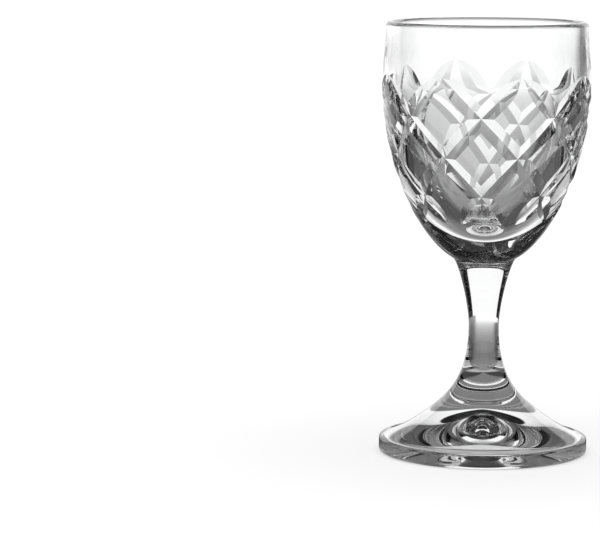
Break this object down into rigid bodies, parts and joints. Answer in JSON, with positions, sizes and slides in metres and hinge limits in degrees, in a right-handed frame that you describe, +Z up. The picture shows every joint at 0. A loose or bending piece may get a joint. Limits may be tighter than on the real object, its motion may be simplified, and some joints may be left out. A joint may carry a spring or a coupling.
{
  "type": "vodka glass",
  "caption": "Stemmed vodka glass in clear crystal: round bowl with a lattice of crossed V cuts, waisted stem and thick round foot.",
  "frame": {"origin": "centre of the foot's underside, on the surface that the glass stands on", "axes": "+Z up along the glass's axis, -Y to the front, where two cuts cross on the centre line"},
  "size_m": [0.0484, 0.0484, 0.1],
  "materials": {
    "crystal": "clear colourless crystal, fire polished",
    "cut_crystal": "clear colourless crystal with polished wheel cuts"
  },
  "bodies": {
    "root": {"foot": "crystal", "stem": "crystal", "bowl": "cut_crystal"}
  },
  "joints": []
}
